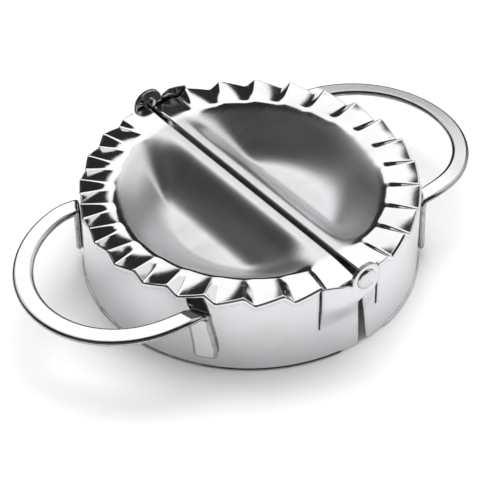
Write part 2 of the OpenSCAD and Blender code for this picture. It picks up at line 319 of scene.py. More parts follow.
def sheet(b, loops, F, side, thick, e, points, skip=None, round_steps=4, wide=1.0):
    """A plate with rounded edges: loops are its outline and holes in F's plane, and F gives its outer face.
    e is the edges' radius, or a function that gives it for each point of a loop.
    skip marks the outline's points that carry a strip of their own instead of a rounded edge.
    wide is how much further than e the rounding reaches in over the face."""
    ready = []
    for i, loop in enumerate(loops):
        loop = np.asarray(loop, float)
        keep_skip = skip if (i == 0 and skip is not None) else np.zeros(len(loop), bool)
        if (area2(loop) > 0) != (i == 0):
            loop, keep_skip = loop[::-1], keep_skip[::-1]
        ready.append((loop, keep_skip))
    data = []
    for loop, sk in ready:
        ee = e(loop) if callable(e) else np.full(len(loop), float(e))
        if sk.any():
            gap = nearest(loop, loop[sk])
            ee = np.minimum(ee, gap * 0.35)
        ee[sk] = 0
        data.append((loop, sk, ee, inset(F, loop, ee * wide)))
    q_all = np.concatenate([d[3] for d in data])
    ok = inside(points, [d[3] for d in data])
    points = points[ok]
    gap = nearest(points, q_all)
    local = nearest_spacing(points, q_all)
    points = points[gap > local]
    verts = np.concatenate([q_all, points])
    edges, start = [], 0
    for d in data:
        n = len(d[0])
        edges += [(start + i, start + (i + 1) % n) for i in range(n)]
        start += n
    # a common scale keeps the mesher's own tolerance small
    out = delaunay_2d_cdt([Vector(v) for v in verts], edges, [], 0, 1e-7)
    vco, faces, origin = out[0], out[2], out[3]
    if len(vco) != len(verts):
        print("note: the mesher merged", len(verts) - len(vco), "points")
    pos = np.array([[v.x, v.y] for v in vco])
    back = {}
    for new, olds in enumerate(origin):
        for o in olds:
            back[o] = new
    tri = np.array([f for f in faces if len(f) == 3])
    mid = pos[tri].mean(1)
    tri = tri[inside(mid, [d[3] for d in data])]
    outline = np.concatenate([d[0] for d in data])
    top = F(pos)
    nrm = normals(F, pos, side)
    far = nearest(top, F(densify_many(outline)))
    # closeness to the outline, stored as the edge attribute: the material paints it darker as painted shade, brighter
    # as rubbed wear on the plate
    edge_shade_and_wear = 0.6 * (1 - smooth(far / 0.9))
    it = b.add(top, nrm, edge_shade_and_wear, pos)
    ib = b.add(top - thick * nrm, -nrm, edge_shade_and_wear, pos)
    for t in tri:
        b.faces.append(tuple(it[t]))
        b.faces.append(tuple(ib[t]))
    result = []
    start = 0
    for loop, sk, ee, q in data:
        n = len(loop)
        ids = np.array([back[start + i] for i in range(n)])
        start += n
        first, last = it[ids], ib[ids]
        rows = [first]
        steps = [(math.sin(t), "t", t) for t in np.linspace(0, math.pi / 2, round_steps + 1)[1:]]
        steps += [(math.sin(t), "b", t) for t in np.linspace(math.pi / 2, math.pi, round_steps + 1)[:-1]]
        lateral = None
        for frac, kind, t in steps:
            p = q + (loop - q) * frac
            P, N = F(p), normals(F, p, side)
            if lateral is None:
                # outward direction over the surface, from the inset loop
                p2 = inset(F, loop, np.full(n, 0.05))
                lateral = F(loop) - F(p2)
            L = unit(lateral - (lateral * N).sum(1)[:, None] * N)
            if kind == "t":
                depth = ee * (1 - math.cos(t))
            else:
                depth = thick - ee * (1 + math.cos(t))
            # the rounded edge carries edge 1.0: full painted shade in the material, full rubbed wear on the plate
            rows.append(b.add(P - N * depth[:, None], N * math.cos(t) * wide + L * math.sin(t), 1.0, p))
        rows.append(last)
        live = ~(sk & np.roll(sk, -1))
        for a, c in zip(rows[:-1], rows[1:]):
            for i in range(n):
                if live[i]:
                    j = (i + 1) % n
                    b.faces.append((a[i], a[j], c[j], c[i]))
        result.append({"loop": loop, "skip": sk, "top": first, "low": last, "rows": rows})
    return result


def densify_many(p):
    return p


def nearest_spacing(points, border):
    """The least distance that a grid point keeps from the border, fixed at 0.16."""
    return 0.16


def revolve(b, profile, edge, turns=96, axis_y=0.0, z=0.0, sign=1.0, wobble=None):
    """Turns (radius, distance along +Y) points round the line through (0, z) along Y. The first and last radius are 0."""
    prof = np.asarray(profile, float)
    d = np.gradient(prof, axis=0)
    nr, nd = d[:, 1], -d[:, 0]
    flip = -1.0 if sign < 0 else 1.0
    rows = []
    th = np.linspace(0, 2 * math.pi, turns, endpoint=False)
    for i, (r, s) in enumerate(prof):
        n = unit(np.array([nr[i], nd[i]]))
        if r < 1e-6:
            ids = b.add([[0, axis_y + flip * s, z]], [[0, flip * (1 if i else -1), 0]], edge[i], [[0, s]])
            rows.append(np.repeat(ids, turns))
            continue
        co = np.stack([r * np.cos(th), np.full(turns, axis_y + flip * s), z + r * np.sin(th)], 1)
        no = np.stack([n[0] * np.cos(th), np.full(turns, flip * n[1]), n[0] * np.sin(th)], 1)
        rows.append(b.add(co, no, edge[i], np.stack([th * max(r, 0.5), np.full(turns, s)], 1)))
    b.strip(rows, True)


# ------------------------------------------------------------------ skirt
def skirt_face(oy, iy):
    """The outer face of a half's skirt: (arc length from the front hinge, height) to a point. The flaps stand out of the round wall above the slits."""
    a0 = math.radians(SLIT_O1)
    u0 = R * math.sin(a0)
    p0 = (-(R + STEP) * math.sin(a0), -(R + STEP) * math.cos(a0))
    ky = (p0[1] + oy) / (u0 - CREASE)
    kx = (p0[0] + u0) / (u0 - CREASE)
    dots = [(9.75, 20.0)]

    def F(p):
        s, z = p[:, 0], p[:, 1]
        a = s / R
        deg = np.degrees(a)
        x, y = -R * np.sin(a), -R * np.cos(a)
        u = -x
        q = ramp(u - CREASE, 0.55)
        t1 = smooth((z - 11.3) / 8.9)
        t1 = np.where(deg < 0.5 * (SLIT_O1 + SLIT_O2), t1, 0)
        xf, yf = -u + kx * q, -oy + ky * q
        # the inner flap leaves the wall gradually from its slit towards the hinge
        t2 = smooth((z - 10.8) / 8.4) * smooth((5.35 + x) / 4.2)
        t2 = np.where(deg > 180 - 0.5 * (SLIT_I2 + 6.47), t2, 0)
        X = x + t1 * (xf - x)
        Y = y + t1 * (yf - y) + t2 * (iy - y)
        out = np.stack([X, Y, z], 1)
        # faint spot-weld dimples, pressed in along the radius
        for ds, dz in dots:
            g = 0.07 * np.exp(-((s - ds) ** 2 + (z - dz) ** 2) / 0.35**2)
            out[:, 0] += g * np.sin(a)
            out[:, 1] += g * np.cos(a)
        g = 0.07 * np.exp(-((s - (math.pi * R - 9.0)) ** 2 + (z - 20.0) ** 2) / 0.35**2)
        out[:, 0] += g * np.sin(a)
        out[:, 1] += g * np.cos(a)
        return out

    return F


def front_s(x):
    return R * np.arcsin(-np.asarray(x, float) / R)


def back_s(x):
    return R * (math.pi - np.arcsin(-np.asarray(x, float) / R))


def half_skirt(name, oy, iy, bores, turn):
    def fr(points):
        p = np.asarray(points, float)
        return np.stack([front_s(p[:, 0]), p[:, 1]], 1)

    def bk(points):
        p = np.asarray(points, float)
        return np.stack([back_s(p[:, 0]), p[:, 1]], 1)

    # the free end, neck and ear at the outer hinge, from the bottom upwards
    neck_o = rounded(
        [[-0.35, 0.0], [-0.66, 10.0], [-0.77, 12.0], [-1.16, 14.0], [-1.76, 16.0], [-2.17, 17.4], [-2.32, 18.1], [0.0, 18.9], [2.4, 19.8], [3.7, 20.9], [4.45, 22.6], [4.78, 24.5]],
        [0.35, 3, 2, 2, 2, 0.8, 0.5, 3, 1.5, 1.5, 3, 0],
        closed=False,
    )
    ear_o = arc(0, PIVOT, EAR_O, -6, 178.6)
    top_o = rounded([[-4.8, 25.1], [-5.1, 25.15], [-5.9, 25.85], [-7.1, 26.35], [-8.1, 26.55], [-10.4, 26.6]], [0, 0.3, 0.6, 1.0, 1.5, 0], closed=False)
    end_u = -R * math.sin(math.radians(SLIT_O1))
    flap_o = rounded([[-10.4, 26.6], [-12.2, 26.45], [end_u, 26.1], [end_u, SLIT_OZ + 0.1]], [0, 1, 0.35, 0], closed=False)
    front = np.concatenate([neck_o, ear_o[1:], top_o[1:], flap_o[1:]])
    front = fr(front)
    s_slit = R * math.radians(SLIT_O2)
    slit_o = np.array([[R * math.radians(SLIT_O1) + 0.06, SLIT_OZ], [s_slit - 0.06, SLIT_OZ]])
    a_top = np.arange(SLIT_O2, 180 - SLIT_I2 + 0.01, 0.33)
    a_top[-1] = 180 - SLIT_I2
    wall_top = np.stack([R * np.radians(a_top), rim(a_top) - BEND - 0.012], 1)
    wall_o = np.array([[s_slit, SLIT_OZ + 0.1]])
    s_in = R * math.radians(180 - SLIT_I2)
    wall_i = np.array([[s_in, SLIT_IZ + 0.2], [s_in + 0.12, SLIT_IZ]])
    # the inner ear's flap, from its slit over the ear to the slanted free end
    s_fl = float(back_s(-SLIT_I1))
    flap_i = np.array([[s_fl - 0.12, SLIT_IZ], [s_fl, SLIT_IZ + 0.2]])
    top_i = bk(rounded([[-SLIT_I1, 12.0], [-SLIT_I1, 24.55], [-4.75, 24.2], [-4.55, 24.45]], [0, 0.4, 0.2, 0], closed=False))
    ear_i = bk(arc(0, PIVOT, EAR_I, 187, -6))
    neck_i = bk(
        rounded(
            [[4.58, 24.5], [4.45, 22.2], [4.3, 20.9], [3.5, 19.9], [1.6, 19.4], [0.55, 18.8], [0.42, 18.0], [0.2, 16.0], [-0.38, 14.0], [-1.01, 12.0], [-1.29, 10.0], [-1.81, 5.0], [-2.35, 0.0]],
            [0, 3, 1.5, 1.2, 1.0, 0.6, 1.0, 2, 2, 2, 2, 4, 1.5],
            closed=False,
        )
    )
    # round the bottom corner of the slanted end
    corner = rounded(np.concatenate([neck_i[-2:], [[neck_i[-1, 0] - 12, 0.0]]]), [0, 1.5, 0], closed=False, n=8)
    outline = np.concatenate(
        [front, slit_o, wall_o, wall_top, wall_i, flap_i, top_i[1:], ear_i[1:], neck_i[1:-1], corner[1:-1]]
    )
    outline = densify(outline, 0.55)
    holes = []
    for x0, maker, r in ((0.0, fr, bores[0]), (0.0, bk, bores[1])):
        holes.append(maker(arc(x0, PIVOT, r, 0, 360, 0.2)[:-1]))
    F = skirt_face(oy, iy)
    g1 = hexgrid(20, 138, 0, 26, 1.1)
    g2 = hexgrid(-6, 20.2, 0, 31, 0.42)
    g3 = hexgrid(137.8, 156, 0, 31, 0.42)
    pts = [g1, g2, g3]
    for c in ((9.75, 20.0), (math.pi * R - 9.0, 20.0)):
        for r in (0.15, 0.3, 0.45, 0.6):
            n = int(2 * math.pi * r / 0.14)
            t = np.linspace(0, 2 * math.pi, n, endpoint=False)
            pts.append(np.stack([c[0] + r * np.cos(t), c[1] + r * np.sin(t)], 1))
    pts = np.concatenate(pts)
    b = Build()

    def edge_r(loop):
        """Rolled edges on the ears and flaps; the wall's toothed edge stays sharp under the crimp plate's bend."""
        a = np.degrees(loop[:, 0] / R)
        r = np.where(loop[:, 1] > 17.5, 0.27, 0.2)
        return np.where((a > SLIT_O2 - 0.05) & (a < 180 - SLIT_I2 + 0.05) & (loop[:, 1] > 18), 0.03, r)

    sheet(b, [outline] + holes, F, -1.0, T, edge_r, pts, round_steps=4)
    # bead along the bottom edge, its ends run out into the wall
    a = np.radians(np.arange(6.15, 170.36, 0.6))
    grow = smooth((a - a[0]) / math.radians(2.6)) * smooth((a[-1] - a) / math.radians(2.6))
    rows = []
    th = np.radians(np.arange(0, 360, 20))
    for ai, g in zip(a, grow):
        rb = 0.05 + (BEAD - 0.05) * g
        cr = R - 0.06 + (0.06) * g
        rr = cr + rb * np.cos(th)
        zz = BEAD + rb * np.sin(th)
        rad = np.array([-math.sin(ai), -math.cos(ai), 0.0])
        co = rr[:, None] * rad[None] + np.stack([0 * zz, 0 * zz, zz], 1)
        no = np.cos(th)[:, None] * rad[None] + np.stack([0 * zz, 0 * zz, np.sin(th)], 1)
        # the bead carries edge 0.8, which the skirt's material paints darker: painted shade
        rows.append(b.add(co, no, 0.8, np.stack([np.full(len(th), ai * R), zz], 1)))
    b.strip(rows, True)
    for row in (rows[0], rows[-1]):
        b.faces.append(tuple(row))
    return b.object(name, turn)


# ------------------------------------------------------------------ crimp plate
def half_plate(name, turn):
    r0 = R - FOLD
    a_join = 7.75
    a_arc = np.arange(a_join, 180 - a_join + 0.01, 0.42)
    a_arc[-1] = 180 - a_join
    t = np.radians(a_arc)
    arc_pts = np.stack([-r0 * np.sin(t), -r0 * np.cos(t)], 1)
    x_edge = -GAP - 0.6
    x_cut = -math.sqrt(r0 * r0 - NOTCH_Y * NOTCH_Y)
    a_cut = math.degrees(math.asin(-x_cut / r0))
    side_a = np.radians(np.linspace(a_cut, a_join, 6)[:-1])
    lead1 = densify(np.array([[x_edge, -NOTCH_Y], [x_cut, -NOTCH_Y]]), 0.4, closed=False)[1:-1]
    lead1 = np.concatenate([lead1, np.stack([-r0 * np.sin(side_a), -r0 * np.cos(side_a)], 1)])
    lead2 = lead1[::-1] * [1, -1]
    ys = np.linspace(NOTCH_Y, -NOTCH_Y, 170)
    straight = np.stack([np.full_like(ys, x_edge), ys], 1)
    outline = np.concatenate([arc_pts, lead2, straight, lead1])
    skip = np.concatenate(
        [np.ones(len(arc_pts), bool), np.zeros(len(lead2), bool), np.ones(len(straight), bool), np.zeros(len(lead1), bool)]
    )

    def F(p):
        return np.stack([p[:, 0], p[:, 1], plate_z(p[:, 0], p[:, 1])], 1)

    rings = []
    radii = list(np.arange(r0 - 0.45, 36.5, -0.62))
    for k, r in enumerate(radii):
        step = 0.42 if r > 40 else 0.84
        aa = np.radians(np.arange(0.2 + (step / 2 if k % 2 else 0), 180, step))
        rings.append(np.stack([-r * np.sin(aa), -r * np.cos(aa)], 1))
    grid = hexgrid(-37, -1.6, -46, 46, 0.9)
    grid = grid[np.hypot(grid[:, 0], grid[:, 1]) < radii[-1] - 0.5]
    b = Build()
    res = sheet(b, [outline], F, 1.0, T, 0.22, np.concatenate(rings + [grid]), skip=skip, round_steps=3)[0]
    loop, sk, top, low, rows = res["loop"], res["skip"], res["top"], res["low"], res["rows"]
    n = len(loop)

    def run(test):
        """The loop's indices for which test holds, in order round the loop."""
        hit = [i for i in range(n) if sk[i] and test(loop[i])]
        start = next(i for i in hit if ((i - 1) % n) not in hit)
        out = [start]
        while (out[-1] + 1) % n in hit:
            out.append((out[-1] + 1) % n)
        return out

    # the outer bend, over the wall's edge, and the lip inside the wall
    ids = run(lambda p: p[0] < x_edge - 0.5)
    P = loop[ids]
    rad = unit(np.column_stack([P, np.zeros(len(P))]))
    aa = np.degrees(np.arctan2(-P[:, 0], -P[:, 1]))
    zt = plate_z(P[:, 0], P[:, 1])
    up = np.array([0, 0, 1.0])
    lip = np.where((aa < 16.6) | (aa > 171.5), 22.3, 21.0)
    F0 = normals(F, P, 1.0)
    tilt = F0 - (F0 * rad).sum(1)[:, None] * rad
    chain, dom_s = [top[ids]], np.radians(aa) * R

    def ring(r, z, no, edge=0.6):
        co = r * rad if np.isscalar(r) else r[:, None] * rad
        co = co.copy()
        co[:, 2] = z
        return b.add(co, no, edge, np.stack([dom_s, z], 1))

    for bt in np.radians(np.arange(12, 90.1, 13)):
        chain.append(ring(r0 + FOLD * math.sin(bt), zt - FOLD * (1 - math.cos(bt)), rad * math.sin(bt) + tilt * math.cos(bt), 0.75))
    chain.append(ring(R + 0.012, zt - BEND - 0.05, rad, 0.3))
    chain.append(ring(R + 0.004, zt - BEND - 0.06, unit(rad - up), 0.3))
    chain.append(ring(R + 0.003, zt - BEND, -up * np.ones((len(P), 1)), 0.3))
    chain.append(ring(R - T - 0.03, zt - BEND, unit(rad - up), 0.3))
    chain.append(ring(R - T - 0.03, zt - BEND - 0.1, rad, 0.3))
    chain.append(ring(R - T - 0.03, lip + 0.18, rad, 0.5))
    chain.append(ring(R - T - 0.09, lip + 0.05, unit(rad - up), 0.8))
    chain.append(ring(R - T - 0.2, lip, -up * np.ones((len(P), 1)), 0.8))
    ri = R - BEND
    chain.append(ring(ri + 0.06, lip + 0.05, unit(-rad - up), 0.8))
    chain.append(ring(ri, lip + 0.18, -rad, 0.5))
    chain.append(ring(ri, zt - 1.3, -rad, 0.2))
    chain.append(ring(ri + 0.05, zt - T - 0.3, unit(-rad - up), 0.2))
    chain.append(low[ids])
    b.strip(chain, False)
    for k in (0, -1):
        cap = [c[k] for c in chain]
        side = [r[ids[k]] for r in rows[1:-1]]
        b.faces.append(tuple(cap + side[::-1]))
    # the turned-down safe edge along the hinge line
    ids = run(lambda p: p[0] > x_edge - 0.5)
    P = loop[ids]
    y = P[:, 1]
    depth = 3.2 - 2.3 * smooth((np.abs(y) - 39.0) / 4.0)
    zt = plate_z(P[:, 0], y)
    ex = np.array([1.0, 0, 0])
    chain = [top[ids]]

    def line(x, z, no, edge=0.6):
        z = np.broadcast_to(z, y.shape)
        co = np.stack([np.full_like(y, x), y, z], 1)
        return b.add(co, np.broadcast_to(unit(np.asarray(no, float)), (len(y), 3)), edge, np.stack([y, x + z], 1))

    for bt in np.radians(np.arange(15, 90.1, 15)):
        chain.append(line(x_edge + 0.6 * math.sin(bt), zt - 0.6 * (1 - math.cos(bt)), ex * math.sin(bt) + up * math.cos(bt)))
    zl = zt - depth
    chain.append(line(-GAP, zl + 0.25, ex))
    chain.append(line(-GAP - 0.09, zl + 0.07, ex - up, 0.9))
    chain.append(line(-GAP - 0.3, zl, -up, 0.9))
    chain.append(line(x_edge + 0.09, zl + 0.07, -ex - up, 0.9))
    chain.append(line(x_edge, zl + 0.25, -ex))
    chain.append(line(x_edge, zt - T - 0.12, -ex, 0.2))
    chain.append(low[ids])
    b.strip(chain, False)
    for k in (0, -1):
        cap = [c[k] for c in chain]
        side = [r[ids[k]] for r in rows[1:-1]]
        b.faces.append(tuple(cap + side[::-1]))
    return b.object(name, turn)


# ------------------------------------------------------------------ handle
STRAP = 1.8
LEG = 37.2
RO, XO, RI, XI = 30.46, 42.0, 24.7, 43.0
REACH = {"left": 1.0, "right": 0.0}


def handle_face(z0):
    """The face that is on top of the loop and lies against the skirt at the legs, from the flat blank. The loop's plane drops towards its tip; it bends down to the skirt round a line along Y."""
    xf, rg, rs, fil = 51.5, 43.0, 5.0, 2.0
    b0, bg, cap = math.radians(-4.57), math.radians(6.0), math.radians(38.0)
    ug = rg * (bg - b0)

    def start(y):
        """Where the gentle arc starts: the bend follows the skirt a little, closer at one leg than at the other."""
        near = np.where(y > 0, 0.28 * ramp(y - 19.3, 2.0), 0.42 * ramp(-y - 20.5, 1.5))
        xg = xf - near
        zg = z0 - math.tan(-b0) * (xg - R)
        return xg, zg, xg - rg * (math.sin(bg) - math.sin(b0)), zg + rg * (math.cos(bg) - math.cos(b0))

    def parts(y):
        """The strap's run towards the skirt at each y: a gentle arc, a tight one, a straight ramp and the fillet into the leg."""
        xw = np.sqrt(np.maximum(R * R - y * y, 1.0))
        xg, zg, xa, za = start(y)
        sb = np.clip((xa + rs * math.sin(bg) - xw - fil) / (rs - fil), math.sin(bg), math.sin(cap))
        b1 = np.arcsin(sb)
        u1 = ug + rs * (b1 - bg)
        x1, z1 = xa - rs * (sb - math.sin(bg)), za + rs * (np.cos(b1) - math.cos(bg))
        run = np.maximum(0.0, (x1 - xw - fil * (1 - sb)) / np.cos(b1))
        x2, z2 = x1 - run * np.cos(b1), z1 - run * sb
        u2 = u1 + run
        f = np.maximum(0.3, (x2 - xw) / (1 - sb))
        u3, z3 = u2 + f * (math.pi / 2 - b1), z2 - f * np.cos(b1)
        return xw, b1, u1, x1, z1, u2, x2, z2, f, u3, z3

    def F(p):
        X, y = p[:, 0], p[:, 1]
        xg, zg, xa, za = start(y)
        u = xg - X
        xw, b1, u1, x1, z1, u2, x2, z2, f, u3, z3 = parts(y)
        ba = np.clip(b0 + u / rg, b0, bg)
        bs = np.clip(bg + (u - ug) / rs, bg, b1)
        bb = np.clip(b1 + (u - u2) / f, b1, math.pi / 2)
        stages = [u <= 0, u <= ug, u <= u1, u <= u2, u <= u3]
        x = np.select(
            stages,
            [X, xg - rg * (np.sin(ba) - math.sin(b0)), xa - rs * (np.sin(bs) - math.sin(bg)), x1 - (u - u1) * np.cos(b1), x2 - f * (np.sin(bb) - np.sin(b1))],
            xw,
        )
        z = np.select(
            stages,
            [z0 - math.tan(-b0) * (X - R), zg + rg * (np.cos(ba) - math.cos(b0)), za + rs * (np.cos(bs) - math.cos(bg)), z1 - (u - u1) * np.sin(b1), z2 + f * (np.cos(bb) - np.cos(b1))],
            z3 - (u - u3),
        )
        return np.stack([x, y, z], 1)

    def on_leg(tau, z, side):
        """The blank's point for a place on the skirt: tau along the wall from the leg's middle, z its height."""
        y = side * R * np.sin(math.radians(LEG) + np.asarray(tau) / R)
        u3, z3 = parts(y)[9], parts(y)[10]
        return np.stack([start(y)[0] - (u3 + z3 - np.asarray(z)), y], 1)

    return F, on_leg


def handle(name, z0, reach, turn):
    F, on_leg = handle_face(z0)
    zb = z0 - 16.6
    fw = 3.35
    c = 2.0
    # the leg's outline on the skirt, in (along the wall, height above the foot's end)
    down = rounded([[1.55, 12.6], [1.9, 10.8], [2.45, 8.2], [3.0, 5.4], [fw, 3.4], [fw, 0.0], [-fw, 0.0], [-fw, 3.6], [-3.55, 5.4], [-3.95, 8.2], [-4.35, 11.0], [-4.6, 13.6]],
                   [0, 3, 3, 3, 1.5, c, c, 1.5, 3, 3, 3, 0], closed=False, n=8)
    legs = [on_leg(down[:, 0], down[:, 1] + zb, side) for side in (1, -1)]
    h = 0.45
    psi = np.radians(np.arange(0, 90.01, 1.0))
    outer = np.stack([XO + reach + RO * np.cos(psi), RO * np.sin(psi)], 1)
    inner = np.stack([XI + RI * np.cos(psi), RI * np.sin(psi)], 1)
    halves = []
    for side, leg in zip((1, -1), legs):
        o_, i_ = outer * [1, side], inner * [1, side]
        halves.append(np.concatenate([o_, densify(np.array([o_[-1], leg[0]]), h, closed=False)[1:-1], leg, densify(np.array([leg[-1], i_[-1]]), h, closed=False)[1:-1], i_[::-1]]))
    top_half, low_half = halves[0], halves[1][::-1]
    # top_half: tip outside -> leg -> tip inside; low_half: tip inside -> leg -> tip outside
    ring = np.concatenate([top_half, low_half[1:-1]])
    ring = densify(ring, h)
    keep = [ring[0]]
    for q in ring[1:]:
        if np.linalg.norm(q - keep[-1]) > 0.12:
            keep.append(q)
    ring = np.array(keep)
    pts = hexgrid(15, 75, -33, 33, 0.55)
    b = Build()
    sheet(b, [ring], F, 1.0, STRAP, 0.87, pts, round_steps=8, wide=1.25)
    return b.object(name, turn)


# ------------------------------------------------------------------ rivets
def rivet(name, y, inward):
    """Head outside at y; the shank runs inwards to a peened end."""
    grip = 2 * T + 0.05 + 0.05
    hr, hh, pr, ph = 3.1, 1.15, 2.3, 0.7
    prof, edge = [], []
    # a low dome with a small mark of the riveting tool in its middle, and a rounded rim
    rd, hd = hr - 0.25, 0.68
    rc = (rd * rd + hd * hd) / (2 * hd)
    # the edge values paint the head darker towards its rim, most on the rounded rim: painted shade for the dark room
    # mirrored there
    for r in np.linspace(0, rd, 30):
        prof.append([r, rc - hh - math.sqrt(rc * rc - r * r) + 0.22 * math.exp(-((r / 0.5) ** 2))])
        edge.append(0.15 + 0.5 * (r / hr) ** 6)
    rho = 0.25 / (1 - rd / rc)
    for v in np.linspace(math.asin(rd / rc), math.pi / 2, 9)[1:]:
        prof.append([hr - rho * (1 - math.sin(v)), hd - hh + rho * (math.sqrt(1 - (rd / rc) ** 2) - math.cos(v))])
        edge.append(0.8)
    prof += [[hr - 0.03, 0.03], [hr - 0.1, 0.06], [SHANK, 0.06], [SHANK, grip - 0.02], [pr - 0.15, grip - 0.02], [pr, grip + 0.1]]
    edge += [1, 0.6, 0.2, 0.2, 0.4, 0.9]
    for v in np.radians(np.linspace(80, 0, 14)):
        r = pr * math.sin(v)
        prof.append([r, grip + 0.1 + (ph - 0.1) * math.cos(v) ** 0.8])
        edge.append(0.4)
    prof[0][0] = 0.0
    prof[-1][0] = 0.0
    b = Build()
    revolve(b, prof, edge, 112, y, PIVOT, 1.0 if inward > 0 else -1.0)
    return b.object(name)


# ------------------------------------------------------------------ materials
def steel(name, colour, rough, brush_dir, brush=0.5, wave=0.03, rim=1.12, satin=0.0, seed=0.0):
    """Polished stainless sheet: fine polishing lines, faint waviness of the sheet, hair scratches, smudges, and a
    colour change along the edges: where rim is below 1 it darkens them as painted shade for the dark room mirrored in
    the rounded edges, where rim is above 1 it brightens them as rubbed wear.
    """
    m = bpy.data.materials.new(name)
    m.use_nodes = True
    nt = m.node_tree
    nt.nodes.clear()
    N, L = nt.nodes.new, nt.links.new
    out = N("ShaderNodeOutputMaterial")
    bsdf = N("ShaderNodeBsdfPrincipled")
    bsdf.inputs["Metallic"].default_value = 1.0
    L(bsdf.outputs[0], out.inputs[0])
    tc = N("ShaderNodeTexCoord")
    dom = N("ShaderNodeAttribute")
    dom.attribute_name = "dom"
    edge = N("ShaderNodeAttribute")
    edge.attribute_name = "edge"

    def noise(vec, scale, stretch, detail=3, rough_=0.55, offset=0.0):
        mp = N("ShaderNodeMapping")
        mp.inputs["Scale"].default_value = stretch
        mp.inputs["Location"].default_value = (offset + seed, offset * 0.7, seed)
        L(vec, mp.inputs["Vector"])
        n = N("ShaderNodeTexNoise")
        n.inputs["Scale"].default_value = scale
        n.inputs["Detail"].default_value = detail
        n.inputs["Roughness"].default_value = rough_
        L(mp.outputs[0], n.inputs["Vector"])
        return n.outputs["Fac"]

    def maprange(v, a, b, c, d, smoothstep=False):
        n = N("ShaderNodeMapRange")
        if smoothstep:
            n.interpolation_type = "SMOOTHSTEP"
        for i, x in zip(("From Min", "From Max", "To Min", "To Max"), (a, b, c, d)):
            n.inputs[i].default_value = x
        L(v, n.inputs["Value"])
        return n.outputs["Result"]

    def math_(op, a, b):
        n = N("ShaderNodeMath")
        n.operation = op
        for i, v in enumerate((a, b)):
            if isinstance(v, (int, float)):
                n.inputs[i].default_value = v
            else:
                L(v, n.inputs[i])
        return n.outputs[0]

    obj = tc.outputs["Object"]
    d = dom.outputs["Vector"]
    # polishing lines, long along the sheet's own length
    lines = noise(d, 1.0, (0.10, 3.2, 1.0) if brush_dir == 0 else (3.2, 0.10, 1.0), 4, 0.65, 3.1)
    fine = noise(d, 1.0, (0.5, 14.0, 1.0) if brush_dir == 0 else (14.0, 0.5, 1.0), 2, 0.6, 9.7)
    smudge = noise(obj, 55.0, (1, 1, 1), 3, 0.6, 1.3)
    blotch = noise(obj, 170.0, (1, 1, 1), 2, 0.5, 5.5)
    swell = noise(obj, 42.0, (1, 1, 0.6), 1, 0.3, 7.7)
    # roughness
    r1 = maprange(lines, 0.3, 0.7, rough * 0.8, rough * 1.25)
    r2 = maprange(smudge, 0.48, 0.78, 0.0, 0.06, True)
    r3 = maprange(blotch, 0.55, 0.8, 0.0, 0.03, True)
    r4 = maprange(edge.outputs["Fac"], 0.0, 1.0, 0.0, 0.02)
    r = math_("ADD", math_("ADD", r1, r2), math_("ADD", r3, r4))
    if satin:
        # the dish is left satin where the tool pressed it
        dull = N("ShaderNodeAttribute")
        dull.attribute_name = "satin"
        r = math_("ADD", r, math_("MULTIPLY", dull.outputs["Fac"], maprange(lines, 0.3, 0.7, satin * 0.85, satin * 1.15)))
    L(r, bsdf.inputs["Roughness"])
    # colour: a breath of tint in the smudges; along the edges the colour goes darker as painted shade where rim is
    # below 1 (skirt, handle, rivet), brighter as rubbed wear where rim is above 1 (plate)
    mix = N("ShaderNodeMix")
    mix.data_type = "RGBA"
    L(maprange(smudge, 0.45, 0.75, 0.0, 1.0, True), mix.inputs["Factor"])
    mix.inputs["A"].default_value = (*colour, 1)
    mix.inputs["B"].default_value = (colour[0] * 0.93, colour[1] * 0.925, colour[2] * 0.905, 1)
    mix2 = N("ShaderNodeMix")
    mix2.data_type = "RGBA"
    # edge attribute broken up by fine noise: painted shade on the edges that rim darkens, rubbed wear on the edges that
    # rim brightens
    shade_and_wear_fac = math_("MULTIPLY", edge.outputs["Fac"], maprange(fine, 0.35, 0.65, 0.35, 1.0))
    L(shade_and_wear_fac, mix2.inputs["Factor"])
    L(mix.outputs["Result"], mix2.inputs["A"])
    mix2.inputs["B"].default_value = (min(1, colour[0] * rim), min(1, colour[1] * rim), min(1, colour[2] * rim), 1)
    L(mix2.outputs["Result"], bsdf.inputs["Base Color"])
    # bump: sheet waviness, polishing lines, and a few hair scratches
    h1 = math_("MULTIPLY", swell, wave * 10)
    h2 = math_("MULTIPLY", lines, 0.010 * brush)
    h3 = math_("MULTIPLY", fine, 0.004 * brush)
    scr_v = noise(obj, 16.0, (1, 1, 1), 1, 0.4, 2.2)
    scr = N("ShaderNodeTexVoronoi")
    scr.feature = "DISTANCE_TO_EDGE"
    scr.inputs["Scale"].default_value = 0.085
    scr.inputs["Randomness"].default_value = 1.0
    warp = N("ShaderNodeMapping")
    warp.inputs["Scale"].default_value = (1.0, 2.6, 1.0)
    warp.inputs["Rotation"].default_value = (0, 0, 0.5 + seed)
    L(d, warp.inputs["Vector"])
    L(warp.outputs[0], scr.inputs["Vector"])
    hair = math_("MULTIPLY", maprange(scr.outputs["Distance"], 0.0, 0.004, 1.0, 0.0), maprange(scr_v, 0.5, 0.6, 0.0, 1.0))
    h4 = math_("MULTIPLY", hair, -0.004)
    h = math_("ADD", math_("ADD", h1, h2), math_("ADD", h3, h4))
    bump = N("ShaderNodeBump")
    bump.inputs["Strength"].default_value = 1.0
    bump.inputs["Distance"].default_value = MM
    L(h, bump.inputs["Height"])
    L(bump.outputs[0], bsdf.inputs["Normal"])
    return m


